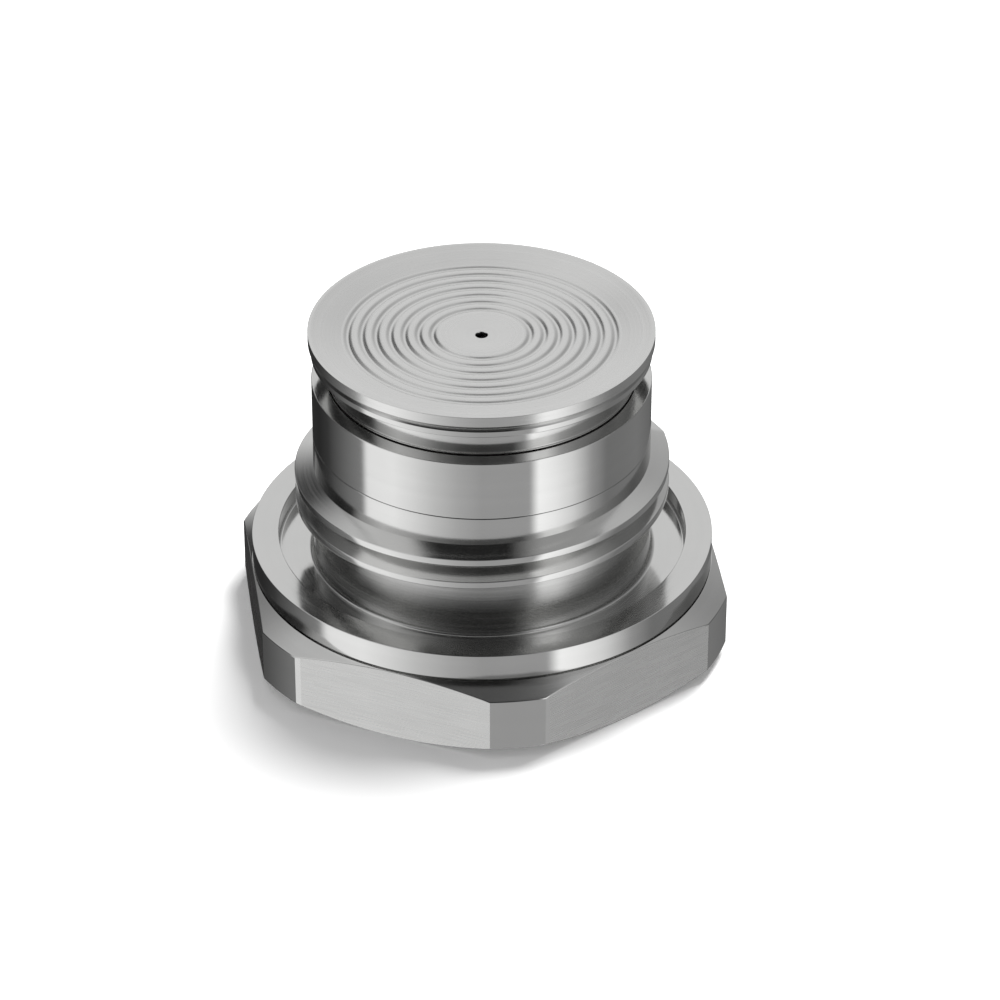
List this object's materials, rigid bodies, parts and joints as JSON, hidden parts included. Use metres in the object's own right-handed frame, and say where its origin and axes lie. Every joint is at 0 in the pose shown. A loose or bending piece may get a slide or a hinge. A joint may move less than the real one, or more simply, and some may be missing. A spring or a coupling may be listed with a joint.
{
  "type": "steam trap insert",
  "caption": "Screw-in steam trap insert: hexagonal bonnet with sealing collar, coarse male thread and guide sleeve, carrying a sliding valve head with a grooved disc and bleed orifice.",
  "frame": {"origin": "centre of the hexagon's bottom face", "axes": "+Z along the turning axis from the hexagon towards the valve disc; two corners of the hexagon on the Y axis, two flats facing +X and -X"},
  "size_m": [0.0546, 0.0598, 0.0396],
  "materials": {
    "turned_steel": "fine turned stainless steel, concentric tool marks",
    "ground_steel": "finely ground stainless steel",
    "plain_steel": "plain machined stainless steel, inside",
    "spring_steel": "drawn spring wire, inside",
    "graphite": "flat graphite gasket, inside"
  },
  "bodies": {
    "bonnet": {"hex_bonnet": "turned_steel", "guide_sleeve": "turned_steel", "plate_gasket": "graphite", "guide_plate": "plain_steel", "return_spring": "spring_steel"},
    "valve_head": {"valve_carrier": "turned_steel", "piston_ring_lower": "plain_steel", "piston_ring_upper": "plain_steel", "valve_disc": "ground_steel", "orifice_nozzle": "ground_steel", "hollow_stem": "plain_steel", "stop_washer": "plain_steel", "stop_nut": "plain_steel"}
  },
  "joints": [
    {"name": "head_travel", "type": "slide", "parent": "bonnet", "child": "valve_head", "axis": [0, 0, 1], "range_m": [-0.002, 0], "stiffness_N_per_m": 2000, "springref_m": 0.002, "deforming": ["return_spring"]}
  ]
}
